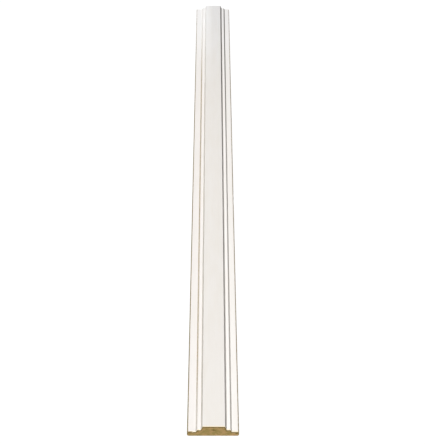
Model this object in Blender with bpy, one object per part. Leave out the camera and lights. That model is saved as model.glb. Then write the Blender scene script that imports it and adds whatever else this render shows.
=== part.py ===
"""A wall moulding: one board of MDF, milled to a stepped profile and primed white on its face.

It lies on its flat back with its face up, as a loose length does. X runs across the width,
Y along the length and Z through the thickness. The origin is the middle of the back.
"""

import math

import bmesh
import bpy
from mathutils import Vector

# The board, in metres
LENGTH = 2.310  # both ends cut square
WIDTH = 0.089  # 3 1/2 in

# The profile across the width. What the steps leave at each side is an outer flat.
BAND_WIDTH = 0.0384  # the raised flat band, between its arrises
INNER_WALL_RUN = 0.0029  # how far each side of the band slopes out to its foot
LEDGE_WIDTH = 0.0062  # the narrow ledge beside the band
OUTER_WALL_RUN = 0.0026  # how far the lower step slopes out to its foot
CUTTER_OFFSET = 0.0013  # the milled steps sit this far to the right of the board's middle

# The profile's heights, each from the surface below it
FLAT_HEIGHT = 0.0073  # the outer flats above the back
LEDGE_RISE = 0.0036  # the ledges above the flats
BAND_RISE = 0.0066  # the band above the ledges: 17.5 mm, or 11/16 in, in all

# Rounding
BACK_ARRIS_RADIUS = 0.0030
EDGE_ARRIS_RADIUS = 0.0020  # the outer edges of the face
STEP_ARRIS_RADIUS = 0.0008  # the top of each step
COVE_RADIUS = 0.0006  # the foot of each step
ARC_SEGMENTS = 6
MOST_OF_A_WALL = 0.45  # a round takes at most this share of the faces that it joins

# Surfaces: linear colour and roughness
PRIMER = ("white_primer", (0.87, 0.85, 0.81), 0.55)
RAW_MDF = ("raw_mdf", (0.36, 0.24, 0.10), 0.85)
BACK_NORMAL_Z = -0.5  # faces that look down more steeply than this were left unprimed
SHARP_ANGLE = math.radians(35)


def step_levels():
    """The heights of the outer flats, the ledges and the band."""
    ledge = FLAT_HEIGHT + LEDGE_RISE
    return FLAT_HEIGHT, ledge, ledge + BAND_RISE


def side_corners(side):
    """The corners of one side with their radii, from the back up to the band. Side is 1 or -1."""
    flat, ledge, band = step_levels()
    edge = WIDTH / 2
    band_arris = BAND_WIDTH / 2
    band_foot = band_arris + INNER_WALL_RUN
    ledge_arris = band_foot + LEDGE_WIDTH
    ledge_foot = ledge_arris + OUTER_WALL_RUN
    milled = (
        (ledge_foot, flat, COVE_RADIUS),
        (ledge_arris, ledge, STEP_ARRIS_RADIUS),
        (band_foot, ledge, COVE_RADIUS),
        (band_arris, band, STEP_ARRIS_RADIUS),
    )
    sawn = ((edge, 0.0, BACK_ARRIS_RADIUS), (edge, flat, EDGE_ARRIS_RADIUS))
    corners = [(Vector((side * x, z)), radius) for x, z, radius in sawn]
    return corners + [(Vector((CUTTER_OFFSET + side * x, z)), radius) for x, z, radius in milled]


def rounded(before, corner, after, radius):
    """The points of the arc that rounds a corner, limited by the faces that meet there."""
    back, ahead = before - corner, after - corner
    half_angle = back.angle(ahead) / 2
    longest_tangent = MOST_OF_A_WALL * min(back.length, ahead.length)
    radius = min(radius, longest_tangent * math.tan(half_angle))
    bisector = (back.normalized() + ahead.normalized()).normalized()
    centre = corner + bisector * radius / math.sin(half_angle)
    tangent = radius / math.tan(half_angle)
    start = corner + back.normalized() * tangent - centre
    end = corner + ahead.normalized() * tangent - centre
    sweep = start.angle_signed(end)
    turns = (-sweep * step / ARC_SEGMENTS for step in range(ARC_SEGMENTS + 1))
    return [centre + turned(start, turn) for turn in turns]


def turned(vector, angle):
    """A vector turned anticlockwise by an angle."""
    cosine, sine = math.cos(angle), math.sin(angle)
    return Vector((cosine * vector.x - sine * vector.y, sine * vector.x + cosine * vector.y))


def profile_outline():
    """The closed outline of the section, anticlockwise as seen from the near end."""
    corners = side_corners(1) + side_corners(-1)[::-1]
    outline = []
    for index, (corner, radius) in enumerate(corners):
        before = corners[index - 1][0]
        after = corners[(index + 1) % len(corners)][0]
        outline += rounded(before, corner, after, radius)
    return outline


def moulding_mesh():
    """The section drawn at the near end and extruded to the far end."""
    shape = bmesh.new()
    near_end = [shape.verts.new((point.x, -LENGTH / 2, point.y)) for point in profile_outline()]
    section = shape.faces.new(near_end)
    extruded = bmesh.ops.extrude_face_region(shape, geom=[section], use_keep_orig=True)
    far_end = [part for part in extruded["geom"] if isinstance(part, bmesh.types.BMVert)]
    bmesh.ops.translate(shape, verts=far_end, vec=(0, LENGTH, 0))
    bmesh.ops.recalc_face_normals(shape, faces=shape.faces)
    mesh = bpy.data.meshes.new("moulding")
    shape.to_mesh(mesh)
    shape.free()
    return mesh


def surface(name, colour, roughness):
    """A plain material of one colour."""
    material = bpy.data.materials.new(name)
    material.use_nodes = True
    shader = material.node_tree.nodes["Principled BSDF"]
    shader.inputs["Base Color"].default_value = (*colour, 1)
    shader.inputs["Roughness"].default_value = roughness
    shader.inputs["Metallic"].default_value = 0
    material.diffuse_color = (*colour, 1)
    return material


def is_unprimed(polygon):
    """True for the cut ends and the back, which show bare board."""
    return abs(polygon.normal.y) > 0.5 or polygon.normal.z < BACK_NORMAL_Z


def make_moulding():
    """The moulding, primed on its face and edges and bare elsewhere."""
    mesh = moulding_mesh()
    mesh.materials.append(surface(*PRIMER))
    mesh.materials.append(surface(*RAW_MDF))
    for polygon in mesh.polygons:
        polygon.material_index = int(is_unprimed(polygon))
    mesh.shade_smooth()
    mesh.set_sharp_from_angle(angle=SHARP_ANGLE)
    moulding = bpy.data.objects.new("moulding", mesh)
    bpy.context.scene.collection.objects.link(moulding)


def clear_scene():
    """Removes whatever the scene holds."""
    for existing in list(bpy.data.objects):
        bpy.data.objects.remove(existing, do_unlink=True)


clear_scene()
make_moulding()
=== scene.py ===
"""The looks of a primed MDF wall moulding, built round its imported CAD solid.

The moulding lies on its back along Y, with its near end towards the camera. Its section is
read from the CAD solid and swept again in fine steps, with the sawn ends, the knocked corner
and the thin coats of primer that the solid leaves out. Lengths are in metres. Where a value
has an entry for each side, -1 is the left as the camera sees it, and 1 is the right.
"""

import math

import bpy
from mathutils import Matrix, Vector, geometry, noise


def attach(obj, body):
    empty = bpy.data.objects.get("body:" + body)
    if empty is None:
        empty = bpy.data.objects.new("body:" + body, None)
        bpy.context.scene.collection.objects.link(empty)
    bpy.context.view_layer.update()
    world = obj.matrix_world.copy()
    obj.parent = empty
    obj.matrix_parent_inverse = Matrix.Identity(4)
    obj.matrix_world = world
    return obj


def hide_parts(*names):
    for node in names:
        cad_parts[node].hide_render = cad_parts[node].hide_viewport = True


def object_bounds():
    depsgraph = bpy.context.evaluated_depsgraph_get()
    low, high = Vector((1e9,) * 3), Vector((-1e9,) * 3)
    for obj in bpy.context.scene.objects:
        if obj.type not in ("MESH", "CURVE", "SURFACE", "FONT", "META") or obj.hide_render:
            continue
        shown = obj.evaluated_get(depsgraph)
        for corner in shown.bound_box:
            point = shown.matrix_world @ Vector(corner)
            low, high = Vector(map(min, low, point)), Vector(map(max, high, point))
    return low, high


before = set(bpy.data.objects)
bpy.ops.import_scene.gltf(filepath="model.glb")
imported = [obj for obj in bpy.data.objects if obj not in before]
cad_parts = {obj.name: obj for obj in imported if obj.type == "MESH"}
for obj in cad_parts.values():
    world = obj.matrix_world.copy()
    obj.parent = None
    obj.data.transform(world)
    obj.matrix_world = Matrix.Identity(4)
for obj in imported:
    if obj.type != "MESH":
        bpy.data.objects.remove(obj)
cad_low, cad_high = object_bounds()

NODE = "moulding"
LENGTH = cad_high.y - cad_low.y
HALF_WIDTH = cad_high.x
PRIMED, BARE = 0, 1  # the places of the two materials

# The camera that the photograph's lines give
PHOTO_HEIGHT_PX = 444
FOCAL_PX = 2006
SENSOR_MM = 36
CAMERA_PITCH = math.radians(24.13)
CAMERA_HEIGHT = 1.733
CAMERA_TO_NEAR_END = 2.976
CAMERA_X = -0.0009

# How finely the section is swept
FACE_SPACING = 0.0012
BACK_SPACING = 0.006
SPACING_SLACK = 0.01  # a run that is longer than its spacing by this share stays whole
END_SPACING = 0.0009  # between the points inside a cut end
RIM_CLEARANCE = 0.45 * END_SPACING  # how far those points keep from its rim
END_ZONE = 0.0096  # the stretch at each end with close stations
END_STATION = 0.0006
STATION = 0.008
SAME_POINT = 1e-6
SHARP_ANGLE = math.radians(40)

# Relief, always cut into the solid so that nothing stands outside it
SAW_DEPTH = 0.00012
SAW_PITCH = 0.0026
SAW_CENTRE = Vector((0.03, -0.11))  # the saw's arbor, below both ends, as (x, z)
CHIP_CENTRE_X = -0.0405
CHIP_HALF_WIDTH = 0.0072
CHIP_LENGTH = 0.0050  # how far the knocked corner reaches in from the near end
CHIP_DEPTH = 0.0012
CHIP_FADE = (0.55, 1.0)  # the share of its reach across which it rises to the face
CHIP_RAGGEDNESS = 0.35
CHIP_GRAIN = 0.0016
MOST_OF_HEIGHT = 0.8  # the chip takes at most this share of a point's height
KNOCKS = (  # along the right edge, as (middle, half length, depth)
    (-0.165, 0.022, 0.0008),
    (-0.128, 0.012, 0.0006),
    (-0.201, 0.010, 0.0005),
)
KNOCK_FADE = (0.3, 1.0)  # the share of its half length across which a knock runs out
KNOCK_REACH = 0.002  # how far in from the edge the knocks go
DEEPEST_KNOCK = max(depth for _, _, depth in KNOCKS)

# Where the coat of primer is thin: 1 is covered and 0 is bare board
BARE_FROM = {-1: 0.0020, 1: 0.0018}  # how far in from each outer edge the full coat stops
SIDE_COAT = {-1: 0.0, 1: 0.22}
OUTER_WALL_COAT = {-1: 0.45, 1: 0.93}
INNER_WALL_COAT = {-1: 0.86, 1: 0.97}
NEAR_WALL_COAT = 0.85  # on the left's lower step, beside the near end
NEAR_COAT_ACROSS = (-1.13, -0.90)  # that coat thins out across here
RIM_COAT = 0.9  # what is left of the coat's cover along the sawn arrises
DAMAGE_FADE = (0.15, 0.6)  # the coat goes where damage is this share of its full depth
CHIP_COAT_FROM = 0.5  # the chip bares what is above this share of the flats' height
WALL_NORMAL_X = 0.45  # faces that lean more than this are the walls of the steps
WALL_NORMAL_Z = 0.3  # and they look up more than this
BACK_NORMAL_Z = -0.5  # faces that look down more than this are bare

# Towards the far end the primer is painted whiter and its cover fuller, painted light where the far
# end is lit more, and the walls on the right are painted grey, painted shade
FAR_LIGHT_ACROSS = (0.45, 1.15)
FAR_LIT_COVER = {-1: 0.94, 1: 0.98}
FAR_LIT_SIDE_COVER = 0.45
LEFT_LIGHT_FADE = (-0.014, 0.002)  # across here the painted light on the far left fades into the band's far right
# Across these the steps' walls are painted grey: painted shade
RIGHT_GREY_ACROSS = (-0.1, 0.8)
LEFT_GREY_ACROSS = (-0.55, -0.1)
LEFT_GREY = 0.40  # how far the left's lower step is painted grey, painted shade, before it whitens

# The band's coat is a warmer white, painted whiter up to its arrises as a painted highlight
ARRIS_HIGHLIGHT = 0.75
ARRIS_REACH = 0.0022

# The coat is yellow up to the first distance from the near end, and white from the second
RIM_YELLOW = (0.0016, 0.0052)

# Darker board: the skin under the face, the sides and a fleck, with painted shade in the damaged
# corner and at two flecks under the right-hand steps
SKIN_DEPTHS = (0.0009, 0.0026)
SKIN_FROM = 0.6  # the skin follows the rim above this share of the flats' height
# Painted shade in the knocked corner
CHIP_SHADE = 0.75
SIDE_SKIN = {-1: 0.90, 1: 0.60}
FLECKS = (  # on the cut ends, as (x, z, half width, half height)
    (0.0013, 0.0110, 0.0050, 0.0018),
    # These two are painted shade, where the right-hand steps' edges meet the cut end
    (0.0212, 0.0135, 0.0022, 0.0019),
    (0.0405, 0.0047, 0.0034, 0.0018),
)
FLECK_FADE = (0.4, 1.1)
FLECK_RAGGEDNESS = 0.4
FLECK_GRAIN = 0.0015
FLECK_DARKNESS = 0.8

# Linear colours
BAND_PRIMER = Vector((0.800, 0.770, 0.732))
# The right-hand flats and ledges are painted lighter than the left-hand ones: painted light that
# makes up for the shade on the right
WHITE_PRIMER = {-1: Vector((0.845, 0.812, 0.785)), 1: Vector((0.890, 0.862, 0.830))}
LEDGE_PRIMER = {-1: WHITE_PRIMER[-1], 1: Vector((0.930, 0.900, 0.868))}
SHADED_PRIMER = Vector((0.660, 0.640, 0.605))  # the steps' walls, painted darker than white: painted shade in the steps, over their thin coat
EDGE_PRIMER = Vector((0.740, 0.715, 0.680))  # the thin coat on the outer edges
# Painted shade on the steps' walls
SHADE_GREY_PRIMER = Vector((0.385, 0.366, 0.347))
YELLOW_PRIMER = Vector((0.890, 0.790, 0.615))
# Painted light at the far end, lightest on its left
FAR_LEFT_LIT_PRIMER = Vector((0.940, 0.932, 0.925))
FAR_LIT_BAND_PRIMER = Vector((0.830, 0.818, 0.812))
FAR_RIGHT_LIT_PRIMER = Vector((0.940, 0.925, 0.915))
MDF_TAN = (0.460, 0.295, 0.125)
MDF_OLIVE = (0.300, 0.225, 0.070)
MDF_FIBRE = (0.530, 0.405, 0.205)
MDF_SKIN = (0.145, 0.105, 0.020)

# The materials' noise: its features a metre along each axis, detail and roughness
LAYERS = ((170, 120, 330), 4.0, 0.62)
FIBRES = ((1100, 420, 1500), 2.0, 0.5)
SPECKS = ((900, 900, 900), 1.0, 0.5)
CLOUDS = ((60, 9, 60), 3.0, 0.5)
STREAKS = ((900, 10, 900), 2.0, 0.5)
GRIT = ((1500, 1500, 1500), 2.0, 0.5)
PATCHES = ((800, 170, 800), 3.0, 0.6)

# What the materials make of it: the noise's low and high, and what each of them turns into
OLIVE_LAYERS = (0.40, 0.60, 0.0, 1.0)
PALE_FIBRES = (0.55, 0.75, 0.0, 0.55)
DARK_SPECKS = (0.64, 0.74, 0.0, 0.6)
UNEVEN_SKIN = (0.2, 0.7, 0.6, 1.0)
FAINT_CLOUDS = (0.3, 0.7, 0.0, 0.05)
FAINT_STREAKS = (0.5, 0.8, 0.0, 0.05)
PRIMER_ROUGHNESS = (0.3, 0.7, 0.52, 0.66)
NOISE_MIDDLE = 0.5
PATCH_CONTRAST = 7.0

# The surfaces' other values
MDF_ROUGHNESS = 0.85
MDF_SPECULAR = 0.25
PRIMER_SPECULAR = 0.35
FIBRE_RELIEF = 0.00012
STREAK_RELIEF = 0.00004
GRIT_RELIEF = 0.00003
MDF_BUMP = 0.7
PRIMER_BUMP = 0.6

# The bake's map: the length is laid out as columns, with both cut ends above them
COLUMNS = 3
COLUMN_MARGIN = 0.006
COLUMN_TOP = 0.925
BACK_SHRINK = 0.5
END_ROW = 0.938
END_MAP_SCALE = 3.1
FAR_END_FROM = 0.5  # the far end lies this far to the right of the near one

# The stage: a flat disc that curves up into a backdrop
STAGE_RADIUS = 13.0
STAGE_CURVE = 5.0
STAGE_SEGMENTS = 96
STAGE_STEPS = 12
STAGE_DROP = 0.0001  # how far the floor lies below the moulding's back
STAGE_COLOUR = (0.05, 0.05, 0.05)
STAGE_GLOW = 1.0
STAGE_ROUGHNESS = 0.9

# The lights: name, place, aim, width, depth, power, and the share that shows as gloss
SKY_STRENGTH = 0.12
LIGHTS = (
    ("front softbox", (0, -4.2, 1.6), (0, -1.1, 0), 0.8, 0.8, 106, 1.0),
    ("near softbox", (0, -1.3, 2.3), (0, -1.0, 0), 1.4, 1.4, 9.5, 1.0),
    ("middle key", (-1.3, 0.0, 2.6), (0, 0.0, 0), 0.6, 0.6, 46, 1.0),
    ("far key", (-1.1, 1.45, 2.3), (0, 1.1, 0), 0.5, 0.5, 22, 1.0),
    ("back softbox", (0, 4.6, 0.5), (0, 1.1, 0), 0.8, 0.8, 6, 0.0),
    # Light that a white floor throws back on the sides and the far end, but not on the face
    ("left bounce", (-0.6, 0, -0.55), (-0.04, 0, 0), 2.6, 0.3, 6, 0.0),
    ("right bounce", (0.6, 0, -0.55), (0.04, 0, 0), 2.6, 0.3, 10, 0.0),
    ("far bounce", (0, 2.2, -0.85), (0, 1.155, 0.01), 0.5, 0.5, 24, 0.0),
)


def signed_area(points):
    """The area inside an outline, positive if it runs anticlockwise."""
    pairs = zip(points, points[1:] + points[:1])
    return sum(first.x * second.y - second.x * first.y for first, second in pairs) / 2


def section_outline(node):
    """The near end's outline as (x, z) points, anticlockwise as seen from the near end."""
    places = [node.matrix_world @ vertex.co for vertex in node.data.vertices]
    near_y = min(place.y for place in places)
    keys = [(round(place.x, 7), round(place.z, 7)) for place in places]
    at_end = [place.y < near_y + SAME_POINT for place in places]
    following = {}
    for polygon in node.data.polygons:
        corners = list(polygon.vertices)
        if all(at_end[corner] for corner in corners):
            continue
        for first, second in zip(corners, corners[1:] + corners[:1]):
            if at_end[first] and at_end[second] and keys[first] != keys[second]:
                following[keys[first]] = keys[second]
    points = [next(iter(following))]
    while following[points[-1]] != points[0]:
        points.append(following[points[-1]])
    points = [Vector(point) for point in points]
    return points if signed_area(points) > 0 else points[::-1]


def is_back_run(point, after):
    """True for a run of the outline that lies on the flat back."""
    return point.y < SAME_POINT and after.y < SAME_POINT


def started_at_back_centre(points):
    """The same outline, starting with a new point in the middle of the back."""
    for index, point in enumerate(points):
        after = points[(index + 1) % len(points)]
        if is_back_run(point, after) and point.x < 0 < after.x:
            return [Vector((0, 0))] + points[index + 1 :] + points[: index + 1]
    raise ValueError("the section has no flat back across its middle")


def densified(points):
    """The outline with its long straight runs cut into short ones."""
    dense = []
    for point, after in zip(points, points[1:] + points[:1]):
        spacing = BACK_SPACING if is_back_run(point, after) else FACE_SPACING
        runs = max(1, math.ceil((after - point).length / spacing - SPACING_SLACK))
        dense += [point.lerp(after, run / runs) for run in range(runs)]
    return dense


def stations():
    """Places along the length, close together at both ends."""
    close = round(END_ZONE / END_STATION)
    middle_low, middle_high = cad_low.y + END_ZONE, cad_high.y - END_ZONE
    wide = round((middle_high - middle_low) / STATION)
    near = [cad_low.y + END_STATION * step for step in range(close)]
    middle = [middle_low + (middle_high - middle_low) * step / wide for step in range(wide)]
    far = [middle_high + END_STATION * step for step in range(close + 1)]
    return near + middle + far


def smooth(value, low, high):
    """0 at low and 1 at high, with an even curve between them."""
    share = min(1, max(0, (value - low) / (high - low)))
    return share * share * (3 - 2 * share)


def ragged(first, second, size):
    """Smooth noise over a plane, from about -1 to 1, with features of one size."""
    return noise.noise(Vector((first, second, 0.0)) / size)


def outline_normals(points):
    """The outward direction at each point of the outline."""
    normals = []
    for index, point in enumerate(points):
        along = points[(index + 1) % len(points)] - points[index - 1]
        normals.append(Vector((along.y, -along.x)).normalized())
    return normals


def side_of(x):
    """-1 on the left and 1 on the right."""
    return 1 if x > 0 else -1


def chip_depth(x, y):
    """How deep the knocked corner at the near left is at a place."""
    across = (x - CHIP_CENTRE_X) / CHIP_HALF_WIDTH
    inwards = (y - cad_low.y) / CHIP_LENGTH
    reach = math.hypot(across, inwards) + CHIP_RAGGEDNESS * ragged(x, y, CHIP_GRAIN)
    return CHIP_DEPTH * (1 - smooth(reach, *CHIP_FADE))


def knock_depth(x, y):
    """How deep the knocks along the right edge are at a place."""
    depth = 0
    for middle, half_length, deepest in KNOCKS:
        along = 1 - smooth(abs(y - middle) / half_length, *KNOCK_FADE)
        depth = max(depth, deepest * along * smooth(x, HALF_WIDTH - KNOCK_REACH, HALF_WIDTH))
    return depth


def saw_depth(x, z):
    """The depth of the arcs that the saw left across a cut end."""
    radius = (Vector((x, z)) - SAW_CENTRE).length
    return SAW_DEPTH * (0.5 + 0.5 * math.sin(math.tau * radius / SAW_PITCH))


class Section:
    """The swept outline, with what is known of each of its points."""

    def __init__(self, points):
        self.points = points
        self.normals = outline_normals(points)
        self.flat_height = self.height_near(HALF_WIDTH - 2 * BARE_FROM[-1])
        self.band_height = max(point.y for point in points)
        self.skin_height = SKIN_FROM * self.flat_height
        self.skinned = [point for point in points if point.y > self.skin_height]
        self.walls = self.wall_spans()

    def height_near(self, x):
        """The height of the face at a place across the width."""
        face = [point for point, normal in zip(self.points, self.normals) if normal.y > 0]
        return min(face, key=lambda point: abs(point.x - x)).y

    def wall_spans(self):
        """The x ranges of the four sloping walls, from left to right."""
        leaning = []
        for point, normal in zip(self.points, self.normals):
            is_wall = abs(normal.x) > WALL_NORMAL_X and normal.y > WALL_NORMAL_Z
            if is_wall and point.y > self.flat_height:
                leaning.append(point.x)
        spans = []
        for x in sorted(leaning):
            if spans and x - spans[-1][1] < 2 * FACE_SPACING:
                spans[-1][1] = x
            else:
                spans.append([x, x])
        return spans

    def coating(self, index):
        """A point's part of the outline, its primer's colour, and how well that covers it."""
        point, normal = self.points[index], self.normals[index]
        side = side_of(point.x)
        if normal.y < BACK_NORMAL_Z:
            return "back", SHADED_PRIMER, 0.0
        if abs(point.x) > HALF_WIDTH - BARE_FROM[side] + SAME_POINT:
            return "edge", EDGE_PRIMER, SIDE_COAT[side]
        if abs(normal.x) > WALL_NORMAL_X:
            if self.walls[1][0] - SAME_POINT < point.x < self.walls[2][1] + SAME_POINT:
                return "inner wall", SHADED_PRIMER, INNER_WALL_COAT[side]
            return "outer wall", SHADED_PRIMER, OUTER_WALL_COAT[side]
        if point.y < self.flat_height + SAME_POINT:
            return "flat", WHITE_PRIMER[side], 1.0
        if point.y < self.band_height - SAME_POINT:
            return "ledge", LEDGE_PRIMER[side], 1.0
        from_arris = min(point.x - self.walls[1][1], self.walls[2][0] - point.x)
        # A painted highlight along the band's arrises
        highlight = ARRIS_HIGHLIGHT * (1 - smooth(from_arris, 0, ARRIS_REACH))
        return "band", BAND_PRIMER.lerp(WHITE_PRIMER[side], highlight), 1.0


section = Section(densified(started_at_back_centre(section_outline(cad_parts[NODE]))))
places_along = stations()


def placed(x, y, z):
    """A vertex of the plain sweep, with the chip and the knocks cut in."""
    chip = min(chip_depth(x, y), MOST_OF_HEIGHT * z)
    share = min(1, z / section.flat_height)
    return Vector((x - knock_depth(x, y) * share, y, z - chip * share))


def is_inside(point, points):
    """True if a point lies inside a closed outline."""
    inside = False
    for first, second in zip(points, points[1:] + points[:1]):
        if (first.y > point.y) != (second.y > point.y):
            crossing = first.x + (point.y - first.y) * (second.x - first.x) / (second.y - first.y)
            inside ^= point.x < crossing
    return inside


def nearest_on_run(point, first, second):
    """The place between two points that is nearest to another point."""
    run = second - first
    share = max(0, min(1, (point - first).dot(run) / run.length_squared))
    return first + run * share


def chain_distance(point, points):
    """How far a point is from a chain of points."""
    runs = zip(points, points[1:])
    return min((point - nearest_on_run(point, first, second)).length for first, second in runs)


def end_grid():
    """An even grid of points inside the section, clear of its rim."""
    rim = section.points + section.points[:1]
    columns = int(2 * HALF_WIDTH / END_SPACING)
    rows = int(section.band_height / END_SPACING)
    inner = []
    for column in range(columns + 1):
        for row in range(rows + 1):
            x = -HALF_WIDTH + (column + 0.5 * (row % 2)) * END_SPACING
            point = Vector((x, (row + 0.5) * END_SPACING))
            if is_inside(point, section.points) and chain_distance(point, rim) > RIM_CLEARANCE:
                inner.append(point)
    return inner


def end_triangles(inner):
    """Triangles over a cut end, between the section's points and those inside it."""
    points = section.points + inner
    rim = list(range(len(section.points)))
    edges = list(zip(rim, rim[1:] + rim[:1]))
    filled = geometry.delaunay_2d_cdt(points, edges, [rim], 1, SAME_POINT)
    if len(filled[0]) != len(points):
        raise ValueError("the end's triangulation added or lost points")
    return filled[2]


def skin_share(point):
    """1 at the primed rim of a cut end, fading to 0 below the skin."""
    return 1 - smooth(chain_distance(point, section.skinned), *SKIN_DEPTHS)


def fleck_share(point):
    """The darkest share in the middle of a fleck, and 0 outside them all."""
    reach = min(
        math.hypot((point.x - x) / half_width, (point.y - z) / half_height)
        for x, z, half_width, half_height in FLECKS
    )
    reach += FLECK_RAGGEDNESS * ragged(point.x, point.y, FLECK_GRAIN)
    return FLECK_DARKNESS * (1 - smooth(reach, *FLECK_FADE))


def swept_faces():
    """The faces along the length, and each one's material."""
    count = len(section.points)
    around = []
    for index, point in enumerate(section.points):
        after = (index + 1) % count
        is_back = is_back_run(point, section.points[after])
        around.append((index, after, BARE if is_back else PRIMED))
    faces, materials = [], []
    for station in range(len(places_along) - 1):
        low, high = station * count, (station + 1) * count
        for index, after, material in around:
            faces.append((low + index, low + after, high + after, high + index))
            materials.append(material)
    return faces, materials


def end_vertices(inner, y, into):
    """The vertices inside a cut end, with the saw's arcs cut in along Y."""
    vertices = []
    for point in inner:
        vertex = placed(point.x, y, point.y)
        vertex.y += into * saw_depth(point.x, point.y)
        vertices.append(vertex)
    return vertices


def end_faces(triangles, first_rim, first_inner, into):
    """A cut end's triangles, from the numbers of its first vertices on the rim and inside it."""
    count = len(section.points)
    faces = []
    for triangle in triangles:
        corners = [
            first_rim + corner if corner < count else first_inner + corner - count
            for corner in triangle
        ]
        faces.append(tuple(corners if into > 0 else corners[::-1]))
    return faces


def moulding_mesh(inner):
    """The sweep and both cut ends as one closed mesh, and each face's material."""
    points = section.points
    vertices = [placed(point.x, y, point.y) for y in places_along for point in points]
    faces, materials = swept_faces()
    triangles = end_triangles(inner)
    for station, into in ((0, 1), (len(places_along) - 1, -1)):
        faces += end_faces(triangles, station * len(points), len(vertices), into)
        vertices += end_vertices(inner, places_along[station], into)
    materials += [BARE] * (len(faces) - len(materials))
    mesh = bpy.data.meshes.new("primed_moulding")
    mesh.from_pydata(vertices, [], faces)
    mesh.update()
    return mesh, materials


def moulding_piece():
    """The finished moulding, with its attributes, the bake's map and its materials."""
    inner = end_grid()
    mesh, materials = moulding_mesh(inner)
    write_attributes(mesh, inner)
    write_map(mesh)
    piece = bpy.data.objects.new("primed_moulding", mesh)
    bpy.context.scene.collection.objects.link(piece)
    mesh.materials.append(primer_material())
    mesh.materials.append(mdf_material())
    mesh.polygons.foreach_set("material_index", materials)
    mesh.shade_smooth()
    mesh.set_sharp_from_angle(angle=SHARP_ANGLE)
    return piece


def coat_along(part, colour, cover, x, y):
    """A part's colour and cover at one place along the length."""
    if part == "back":
        return colour, cover
    side = side_of(x)
    # Painted light: towards the far end the cover grows fuller
    far = smooth(y, *FAR_LIGHT_ACROSS)
    most = FAR_LIT_SIDE_COVER if part == "edge" else FAR_LIT_COVER[side]
    cover += far * max(0, most - cover)
    if side < 0 and part == "outer wall":
        near = 1 - smooth(y, *NEAR_COAT_ACROSS)
        cover += near * (NEAR_WALL_COAT - cover)
        # The left's lower step is painted greyer along the middle: painted shade
        colour = colour.lerp(SHADE_GREY_PRIMER, LEFT_GREY * smooth(y, *LEFT_GREY_ACROSS))
    # The walls on the right are painted grey towards the far end: painted shade
    if side > 0 and part in ("inner wall", "outer wall"):
        return colour.lerp(SHADE_GREY_PRIMER, smooth(y, *RIGHT_GREY_ACROSS)), cover
    # The right's flats and ledges are painted lighter towards the far end: painted light
    if side > 0 and part != "band":
        return colour.lerp(FAR_RIGHT_LIT_PRIMER, far), cover
    # The left and the band are painted lighter towards the far end, most on the far left: painted
    # light
    left = 1 - smooth(x, *LEFT_LIGHT_FADE)
    return colour.lerp(FAR_LIT_BAND_PRIMER.lerp(FAR_LEFT_LIT_PRIMER, left), far), cover


def vertex_look(point, coating, y):
    """The primer's colour, how well it covers, and how dark the board is at one vertex."""
    part, colour, cover = coating
    colour, cover = coat_along(part, colour, cover, point.x, y)
    colour = colour.lerp(YELLOW_PRIMER, 1 - smooth(y - cad_low.y, *RIM_YELLOW))
    chipped = 0
    if point.y > CHIP_COAT_FROM * section.flat_height:
        chipped = chip_depth(point.x, y) / CHIP_DEPTH
    damage = max(chipped, knock_depth(point.x, y) / DEEPEST_KNOCK)
    at_end = y in (places_along[0], places_along[-1])
    cover *= RIM_COAT if at_end else 1
    cover *= 1 - smooth(damage, *DAMAGE_FADE)
    side = side_of(point.x)
    rim_skin = float(at_end and point.y > section.skin_height)
    side_skin = SIDE_SKIN[side] * (abs(point.x) > HALF_WIDTH - BARE_FROM[side])
    # The knocked corner is darkened as painted shade
    return colour, cover, max(rim_skin, side_skin, CHIP_SHADE * chipped)


def write_attributes(mesh, inner):
    """The primer's colour, coat and skin of each vertex, which the materials read, with painted
    light and shade mixed into them.
    """
    coatings = [section.coating(index) for index in range(len(section.points))]
    looks = [
        vertex_look(point, coating, y)
        for y in places_along
        for point, coating in zip(section.points, coatings)
    ]
    # The vertices inside the near end come next, and then those inside the far end
    looks += [(SHADED_PRIMER, 0.0, max(skin_share(point), fleck_share(point))) for point in inner] * 2
    coat_and_light = [cover for _, cover, _ in looks]
    skin_and_shade = [darkness for _, _, darkness in looks]
    primer_and_light = [channel for colour, _, _ in looks for channel in (*colour, 1.0)]
    mesh.attributes.new("coat_and_light", "FLOAT", "POINT").data.foreach_set("value", coat_and_light)
    mesh.attributes.new("skin_and_shade", "FLOAT", "POINT").data.foreach_set("value", skin_and_shade)
    mesh.attributes.new("primer_and_light", "FLOAT_COLOR", "POINT").data.foreach_set("color", primer_and_light)


def girths():
    """How far round the section each point is, with the back shrunk, and the whole girth."""
    reached = [0.0]
    for point, after in zip(section.points, section.points[1:] + section.points[:1]):
        shrink = BACK_SHRINK if is_back_run(point, after) else 1
        reached.append(reached[-1] + shrink * (after - point).length)
    return reached


def end_places(corners, is_far):
    """A cut end's corners on the map. The far end is turned round, so it isn't mirrored."""
    left = COLUMN_MARGIN + (FAR_END_FROM if is_far else 0)
    places = []
    for corner in corners:
        x = -corner.x if is_far else corner.x
        places += [left + (x + HALF_WIDTH) * END_MAP_SCALE, END_ROW + corner.z * END_MAP_SCALE]
    return places


def column_places(corners, numbers, around):
    """The corners, on the map, of a face along the length."""
    count = len(section.points)
    column_width = 1 / COLUMNS - 2 * COLUMN_MARGIN
    column_length = LENGTH / COLUMNS
    middle = sum(corner.y for corner in corners) / len(corners) - cad_low.y
    column = min(COLUMNS - 1, int(middle / column_length))
    closes_the_ring = numbers[0] % count == count - 1
    places = []
    for corner, number in zip(corners, numbers):
        index = number % count
        share = around[count if index == 0 and closes_the_ring else index] / around[-1]
        along = (corner.y - cad_low.y) / column_length - column
        u = column / COLUMNS + COLUMN_MARGIN + share * column_width
        places += [u, COLUMN_MARGIN + along * (COLUMN_TOP - COLUMN_MARGIN)]
    return places


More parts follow.
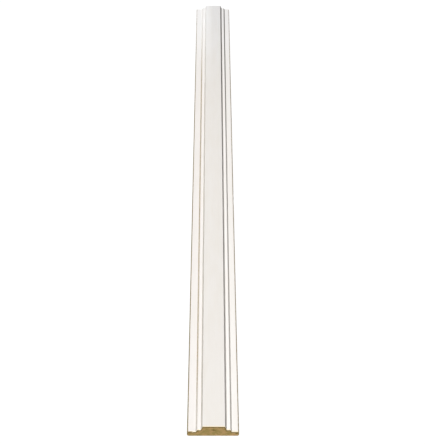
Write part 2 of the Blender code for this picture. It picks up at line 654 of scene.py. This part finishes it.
def write_map(mesh):
    """Lays the moulding out for the bake: columns of the length, and both ends large."""
    around = girths()
    places = []
    for polygon in mesh.polygons:
        numbers = list(polygon.vertices)
        corners = [mesh.vertices[number].co for number in numbers]
        if len(corners) == 3:
            places += end_places(corners, polygon.normal.y > 0)
        else:
            places += column_places(corners, numbers, around)
    bake_map = mesh.uv_layers.new(name="OFBake")
    bake_map.uv.foreach_set("vector", places)


class Nodes:
    """One material's nodes, with a short way to add each kind."""

    def __init__(self, name):
        self.material = bpy.data.materials.new(name)
        self.material.use_nodes = True
        self.tree = self.material.node_tree
        self.surface = self.tree.nodes["Principled BSDF"]
        self.place = self.add("ShaderNodeTexCoord").outputs["Object"]

    def add(self, kind, inputs=(), **settings):
        """A new node with its settings made and its inputs fed."""
        node = self.tree.nodes.new(kind)
        for name, value in settings.items():
            setattr(node, name, value)
        for name, value in inputs:
            self.feed(node.inputs[name], value)
        return node

    def feed(self, socket, value):
        """Links another node's output to an input, or sets the input to a value."""
        if isinstance(value, bpy.types.NodeSocket):
            self.tree.links.new(value, socket)
        elif socket.type == "RGBA":
            socket.default_value = (*value, 1)
        else:
            socket.default_value = value

    def stretched(self, scale):
        """The place with each axis scaled."""
        inputs = ((0, self.place), (1, scale))
        return self.add("ShaderNodeVectorMath", inputs, operation="MULTIPLY").outputs[0]

    def noise(self, scale, detail, roughness):
        """Noise with so many features a metre along each axis, from about 0.2 to 0.8."""
        inputs = (
            ("Vector", self.stretched(scale)),
            ("Scale", 1.0),
            ("Detail", detail),
            ("Roughness", roughness),
        )
        return self.add("ShaderNodeTexNoise", inputs).outputs["Fac"]

    def attribute(self, name, output="Fac"):
        """One of the mesh's attributes."""
        return self.add("ShaderNodeAttribute", attribute_name=name).outputs[output]

    def math(self, operation, first, second, third=0.0, clamp=False):
        """The result of one operation on numbers."""
        inputs = ((0, first), (1, second), (2, third))
        return self.add("ShaderNodeMath", inputs, operation=operation, use_clamp=clamp).outputs[0]

    def ranged(self, value, low, high, to_low, to_high):
        """A value taken smoothly from one range to another."""
        inputs = ((0, value), (1, low), (2, high), (3, to_low), (4, to_high))
        settings = {"interpolation_type": "SMOOTHSTEP", "clamp": True}
        return self.add("ShaderNodeMapRange", inputs, **settings).outputs[0]

    def mixed(self, share, first, second):
        """Two colours mixed by a share of the second."""
        inputs = ((0, share), (6, first), (7, second))
        return self.add("ShaderNodeMix", inputs, data_type="RGBA").outputs[2]

    def bump(self, height, relief, strength, under=None):
        """A normal raised by a height from 0 to 1, over another bump if one is given."""
        inputs = [("Height", height), ("Distance", relief), ("Strength", strength)]
        if under is not None:
            inputs.append(("Normal", under))
        return self.add("ShaderNodeBump", inputs).outputs["Normal"]


def mdf_colour(nodes):
    """Raw board: olive and tan layers, pale fibres, dark specks and a darker skin, which also
    carries painted shade.
    """
    layers = nodes.noise(*LAYERS)
    fibres = nodes.noise(*FIBRES)
    specks = nodes.noise(*SPECKS)
    base = nodes.mixed(nodes.ranged(layers, *OLIVE_LAYERS), MDF_TAN, MDF_OLIVE)
    base = nodes.mixed(nodes.ranged(fibres, *PALE_FIBRES), base, MDF_FIBRE)
    base = nodes.mixed(nodes.ranged(specks, *DARK_SPECKS), base, MDF_SKIN)
    uneven = nodes.ranged(layers, *UNEVEN_SKIN)
    skin_and_shade = nodes.math("MULTIPLY", nodes.attribute("skin_and_shade"), uneven)
    return nodes.mixed(skin_and_shade, base, MDF_SKIN), fibres


def mdf_material():
    """Bare board, for the cut ends and the back."""
    nodes = Nodes("raw_mdf")
    colour, fibres = mdf_colour(nodes)
    nodes.feed(nodes.surface.inputs["Base Color"], colour)
    nodes.surface.inputs["Roughness"].default_value = MDF_ROUGHNESS
    nodes.surface.inputs["Specular IOR Level"].default_value = MDF_SPECULAR
    nodes.feed(nodes.surface.inputs["Normal"], nodes.bump(fibres, FIBRE_RELIEF, MDF_BUMP))
    return nodes.material


def patchy_cover(nodes):
    """The coat's cover: half-covered places break up, and full and bare ones stay whole."""
    coat_and_light = nodes.attribute("coat_and_light")
    patches = nodes.math("SUBTRACT", nodes.noise(*PATCHES), NOISE_MIDDLE)
    partial = nodes.math("MULTIPLY", coat_and_light, nodes.math("SUBTRACT", 1.0, coat_and_light))
    spread = nodes.math("MULTIPLY", patches, PATCH_CONTRAST)
    return nodes.math("MULTIPLY_ADD", partial, spread, coat_and_light, clamp=True)


def primer_material():
    """White primer over board, thin or missing where the coat attribute says so, with painted light
    and shade in the primer's colour.
    """
    nodes = Nodes("white_primer")
    clouds = nodes.noise(*CLOUDS)
    streaks = nodes.noise(*STREAKS)
    grit = nodes.noise(*GRIT)
    white = nodes.attribute("primer_and_light", "Color")
    white = nodes.mixed(nodes.ranged(clouds, *FAINT_CLOUDS), white, MDF_FIBRE)
    white = nodes.mixed(nodes.ranged(streaks, *FAINT_STREAKS), white, MDF_FIBRE)
    board, _ = mdf_colour(nodes)
    colour = nodes.mixed(patchy_cover(nodes), board, white)
    nodes.feed(nodes.surface.inputs["Base Color"], colour)
    nodes.feed(nodes.surface.inputs["Roughness"], nodes.ranged(grit, *PRIMER_ROUGHNESS))
    nodes.surface.inputs["Specular IOR Level"].default_value = PRIMER_SPECULAR
    grain = nodes.bump(streaks, STREAK_RELIEF, PRIMER_BUMP)
    grain = nodes.bump(grit, GRIT_RELIEF, PRIMER_BUMP, grain)
    nodes.feed(nodes.surface.inputs["Normal"], grain)
    return nodes.material


def stage_material():
    """An even white that is the same in every view."""
    material = bpy.data.materials.new("floor")
    material.use_nodes = True
    surface = material.node_tree.nodes["Principled BSDF"]
    surface.inputs["Base Color"].default_value = (*STAGE_COLOUR, 1)
    surface.inputs["Roughness"].default_value = STAGE_ROUGHNESS
    surface.inputs["Specular IOR Level"].default_value = 0.0
    surface.inputs["Emission Color"].default_value = (1, 1, 1, 1)
    surface.inputs["Emission Strength"].default_value = STAGE_GLOW
    return material


def stage_mesh():
    """A flat disc whose rim curves up all round, so that it has no far edge."""
    vertices, faces = [(0, 0, 0)], []
    for step in range(STAGE_STEPS + 1):
        rise = math.pi / 2 * step / STAGE_STEPS
        radius = STAGE_RADIUS + STAGE_CURVE * math.sin(rise)
        height = STAGE_CURVE * (1 - math.cos(rise))
        for segment in range(STAGE_SEGMENTS):
            turn = math.tau * segment / STAGE_SEGMENTS
            vertices.append((radius * math.cos(turn), radius * math.sin(turn), height))
    for segment in range(STAGE_SEGMENTS):
        after = (segment + 1) % STAGE_SEGMENTS
        faces.append((0, 1 + segment, 1 + after))
        for step in range(STAGE_STEPS):
            low, high = 1 + step * STAGE_SEGMENTS, 1 + (step + 1) * STAGE_SEGMENTS
            faces.append((low + segment, high + segment, high + after, low + after))
    mesh = bpy.data.meshes.new("floor")
    mesh.from_pydata(vertices, [], faces)
    mesh.shade_smooth()
    return mesh


def make_stage():
    """A plain white floor, which is seen but doesn't light the moulding."""
    mesh = stage_mesh()
    mesh.materials.append(stage_material())
    floor = bpy.data.objects.new("floor", mesh)
    bpy.context.scene.collection.objects.link(floor)
    floor.location.z = -STAGE_DROP
    floor.visible_diffuse = False
    floor.visible_glossy = False
    floor.visible_shadow = False  # the bounce lights shine up through it


def area_light(name, place, aim, width, depth, power, gloss):
    """A soft light, with the share of it that shows as gloss."""
    light = bpy.data.lights.new(name, "AREA")
    light.shape = "RECTANGLE"
    light.size = width
    light.size_y = depth
    light.energy = power
    light.specular_factor = gloss
    lamp = bpy.data.objects.new(name, light)
    bpy.context.scene.collection.objects.link(lamp)
    lamp.location = place
    lamp.visible_camera = False
    lamp.rotation_euler = (Vector(aim) - Vector(place)).to_track_quat("-Z", "Y").to_euler()


def make_lights():
    """The soft lights and a dim white sky."""
    world = bpy.data.worlds.new("sky")
    bpy.context.scene.world = world
    world.use_nodes = True
    background = world.node_tree.nodes["Background"]
    background.inputs["Color"].default_value = (1, 1, 1, 1)
    background.inputs["Strength"].default_value = SKY_STRENGTH
    for light in LIGHTS:
        area_light(*light)


def make_camera():
    """The camera, from the photograph's lines."""
    camera = bpy.data.objects.new("camera", bpy.data.cameras.new("camera"))
    bpy.context.scene.collection.objects.link(camera)
    camera.data.sensor_width = SENSOR_MM
    camera.data.lens = SENSOR_MM * FOCAL_PX / PHOTO_HEIGHT_PX
    camera.location = (CAMERA_X, cad_low.y - CAMERA_TO_NEAR_END, CAMERA_HEIGHT)
    camera.rotation_euler = (math.pi / 2 - CAMERA_PITCH, 0, 0)
    bpy.context.scene.camera = camera


moulding = moulding_piece()
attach(moulding, "root")
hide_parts(NODE)
make_stage()
make_lights()
make_camera()
bpy.context.scene.view_settings.view_transform = "Standard"
